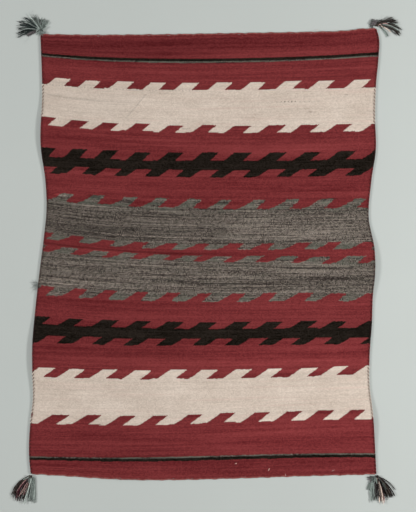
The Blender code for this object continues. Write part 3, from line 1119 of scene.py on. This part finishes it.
def make_tassel(corner, tree, finish):
    yarns = Yarns(f"{corner} yarns")
    uneven = yarns.uneven
    degrees, offset, knot_yarn = KNOTS[corner]
    way = radians(degrees)
    across = np.array((-sin(way), cos(way)))
    middle = CORNERS[corner] + MIDDLE + np.array(offset)
    layers = len(LOCKS[corner])
    for layer, (yarn, strands, leaving, ending, length, spread, wave, beside) in enumerate(LOCKS[corner]):
        start = middle + across * beside * MILLIMETRE
        for number in range(strands):
            place = (number + 0.5) / strands - 0.5
            turned = place * spread + uneven.uniform(-2, 2)
            root = start + across * uneven.uniform(-ROOT_SPREAD, ROOT_SPREAD)
            rest = LYING_HEIGHT + LAYER_LIFT * layer * uneven.uniform(0.1, 0.9)
            height = 0.0022 + 0.0050 * (layer + uneven.random()) / layers
            cut = length * uneven.uniform(*LENGTH_RANGE)
            girth = uneven.uniform(0.85, 1.15)
            yarns.run(yarn, root, leaving + turned, ending + turned * 1.2, cut, wave, girth, height, rest)
        for _ in range(int(strands * FIBRES_A_STRAND)):
            turned = uneven.uniform(-0.5, 0.5) * spread * 1.6
            rest = LYING_HEIGHT + LAYER_LIFT * layer * uneven.uniform(0.2, 1.2)
            cut = length * uneven.uniform(0.6, 1.08)
            leave, end = leaving + turned, ending + turned * 1.6
            yarns.run(yarn, start, leave, end, cut, wave * 2 + 12, FIBRE_GIRTH, 0.004, rest)
    wrap_knot(yarns, knot_yarn, middle, way, uneven)
    name = f"yarn_tassel_{corner}"
    tassel = grown(name, yarns.guide(name), tree, yarn_values(finish))
    return worn(tassel, "tassel_wool", f"tassel_{corner}")


def make_stray_ends(tree, finish):
    """Short ends of yarn on the cloth and a tuft of fluff at its left edge."""
    yarns = Yarns("stray ends")
    on_cloth = CLOTH_THICKNESS + YARN_RADIUS * 0.4
    for yarn, strands, place, way, length, spread in STRAY_ENDS:
        start = np.array(place) * MILLIMETRE + MIDDLE
        for number in range(strands):
            turned = spread * (number / max(strands - 1, 1) - 0.5)
            yarns.run(yarn, start, way + turned, way + turned * 1.5, length, 20, 0.7, on_cloth, on_cloth)
    yarn, strands, place, way, length, spread = STRAY_FLUFF
    start = np.array(place) * MILLIMETRE + MIDDLE
    for _ in range(strands):
        turned = spread * yarns.uneven.uniform(-0.5, 0.5)
        cut = length * yarns.uneven.uniform(0.5, 1.1)
        shift = np.array((0, yarns.uneven.uniform(-0.008, 0.008)))
        leave, end = way + turned, way + turned * 2
        yarns.run(yarn, start + shift, leave, end, cut, 40, FIBRE_GIRTH * 1.6, 0.003, 0.002)
    name = "stray_ends"
    ends = grown(name, yarns.guide(name), tree, yarn_values(finish))
    return worn(ends, "tassel_wool")


def make_floor():
    half = FLOOR_SIZE / 2
    mesh = bpy.data.meshes.new("floor")
    corners = [(-half, -half, 0), (half, -half, 0), (half, half, 0), (-half, half, 0)]
    mesh.from_pydata(corners, [], [(0, 1, 2, 3)])
    mesh.materials.append(floor_finish())
    linked("floor", mesh)


def make_camera():
    data = bpy.data.cameras.new("camera")
    data.lens = CAMERA_LENS
    camera = bpy.data.objects.new("camera", data)
    bpy.context.scene.collection.objects.link(camera)
    distance = FRAME_HEIGHT * CAMERA_LENS / data.sensor_width
    camera.location = (*MIDDLE, distance + CLOTH_THICKNESS)
    bpy.context.scene.camera = camera


def make_light(name, place, size, power):
    data = bpy.data.lights.new(name, "AREA")
    data.shape = "DISK"
    data.size = size
    data.energy = power
    light = bpy.data.objects.new(name, data)
    bpy.context.scene.collection.objects.link(light)
    light.location = place
    light.rotation_mode = "QUATERNION"
    light.rotation_quaternion = light.location.to_track_quat("Z", "Y")


def make_lights():
    make_light("key_light", **KEY_LIGHT)
    make_light("left_light", **LEFT_LIGHT)
    make_light("fill_light", **FILL_LIGHT)
    world = bpy.data.worlds.new("studio")
    world.use_nodes = True
    background = world.node_tree.nodes["Background"]
    background.inputs["Color"].default_value = (1.0, 1.0, 1.0, 1.0)
    background.inputs["Strength"].default_value = SKY
    bpy.context.scene.world = world
    bpy.context.scene.view_settings.view_transform = "Standard"


def main():
    make_camera()
    make_lights()
    make_floor()
    cloth_wool = cloth_finish()
    cloth = make_cloth(cloth_wool)
    cord_tree, strand_tree = wound_yarn_tree(), yarn_tree()
    side_wool = cord_finish("side_cord", (0.016, 0.009, 0.009), (0.050, 0.022, 0.022))
    # The end cords are painted lighter and pinker than the cloth's red; the extra lightness is painted
    # light that offsets the shade along the cords' sides.
    end_wool_with_painted_light = cord_finish("end_cord_with_painted_light", (0.170, 0.036, 0.035), (0.400, 0.125, 0.110))
    cords = [make_edge_cord(edge, (0.0,), cord_tree, side_wool) for edge in ("left", "right")]
    cords += [make_edge_cord(edge, (0.0, pi), cord_tree, end_wool_with_painted_light) for edge in ("bottom", "top")]
    wefts = [make_side_weft(edge, cord_tree, cloth_wool) for edge in ("left", "right")]
    yarn = yarn_finish()
    tassels = [make_tassel(corner, strand_tree, yarn) for corner in CORNERS]
    ends = make_stray_ends(strand_tree, yarn)


main()
